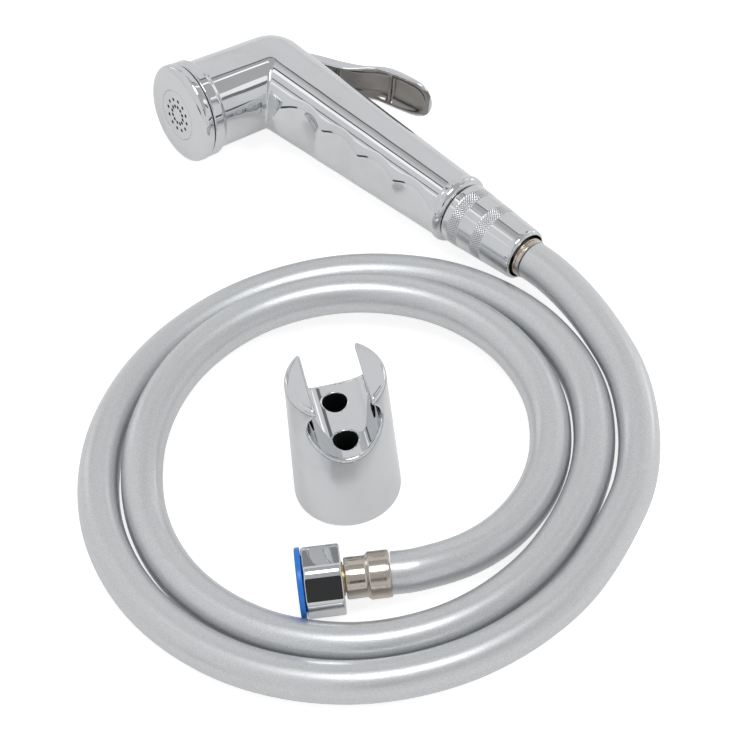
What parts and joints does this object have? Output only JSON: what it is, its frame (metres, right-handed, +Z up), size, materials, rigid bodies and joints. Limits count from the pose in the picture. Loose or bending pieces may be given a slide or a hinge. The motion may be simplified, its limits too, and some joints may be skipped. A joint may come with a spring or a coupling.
{
  "type": "handheld bath sprayer",
  "caption": "Handheld bath sprayer: elbowed spray head with a thumb lever valve, coiled supply hose with end nuts, and a wall holder.",
  "frame": {"origin": "centre of the holder's wall face, on the surface that the sprayer, its hose and the holder lie on", "axes": "+Z up and out of the holder's wall face; +Y from the holder towards the spray head; +X to the right"},
  "size_m": [0.2124, 0.3188, 0.06],
  "materials": {
    "chrome": "polished chrome plate",
    "nickel": "bright nickel plate, slightly warm",
    "brass": "plain machined brass",
    "steel": "stainless steel",
    "silver_hose": "metallic silver coat with a fine sparkle, smooth and glossy",
    "blue_plastic": "bright blue moulded plastic",
    "black_rubber": "matt black rubber",
    "white_plastic": "natural white moulded plastic"
  },
  "bodies": {
    "holder": {"holder_body": "chrome"},
    "hose": {"hose_tube": "silver_hose", "handset_sleeve": "nickel", "handset_hose_tail": "brass", "supply_sleeve": "nickel", "supply_hose_tail": "brass"},
    "handset": {"housing": "chrome", "spray_cap": "chrome", "cap_seal": "black_rubber", "spray_plate": "chrome", "plate_seal": "black_rubber", "nozzle_carrier": "white_plastic", "outlet_pipe": "white_plastic", "valve_body": "brass", "valve_seat": "steel", "valve_spring": "steel", "spring_retainer": "brass", "inner_water_pipe": "white_plastic", "pipe_seal_valve_end": "black_rubber", "pipe_seal_tail_end": "black_rubber", "lever_pin": "steel", "tail_connector": "brass", "inlet_filter": "white_plastic"},
    "lever": {"thumb_lever": "chrome"},
    "plunger": {"valve_plunger": "brass", "plunger_seal": "black_rubber", "push_rod": "steel"},
    "cone_nut": {"cone_nut": "chrome", "cone_nut_washer": "black_rubber"},
    "hex_nut": {"hex_nut": "chrome", "hex_nut_washer": "black_rubber"},
    "thread_cap": {"thread_cap": "blue_plastic"}
  },
  "joints": [
    {"name": "hose_lift", "type": "slide", "parent": "holder", "child": "hose", "axis": [0, 0, 1], "range_m": [0, 0.06]},
    {"name": "handset_swivel", "type": "hinge", "parent": "hose", "child": "handset", "pos_m": [-0.0146, 0.2, 0.0179], "axis": [0.6398, -0.7679, -0.0297], "continuous": true},
    {"name": "lever_pivot", "type": "hinge", "parent": "handset", "child": "lever", "pos_m": [-0.0009, 0.20761, 0.01526], "axis": [-0.1442, -0.0821, -0.9861], "range_deg": [0, 14], "stiffness_Nm_per_rad": 0.6, "springref_deg": -14.32},
    {"name": "plunger_slide", "type": "slide", "parent": "handset", "child": "plunger", "axis": [-0.7549, -0.6352, 0.1633], "range_m": [0, 0.00356], "deforming": ["valve_spring"]},
    {"name": "cone_nut_spin", "type": "hinge", "parent": "handset", "child": "cone_nut", "pos_m": [-0.0146, 0.2, 0.0179], "axis": [0.6398, -0.7679, -0.0297], "continuous": true},
    {"name": "hex_nut_spin", "type": "hinge", "parent": "hose", "child": "hex_nut", "pos_m": [-0.0184, -0.0534, 0.01368], "axis": [0.9998, 0.0175, 0], "continuous": true},
    {"name": "thread_cap_turn", "type": "hinge", "parent": "hex_nut", "child": "thread_cap", "pos_m": [-0.0184, -0.0534, 0.01368], "axis": [0.9998, 0.0175, 0], "continuous": true}
  ],
  "couplings": [
    {"joint": "plunger_slide", "follows": "lever_pivot", "m_per_rad": 0.0145}
  ]
}
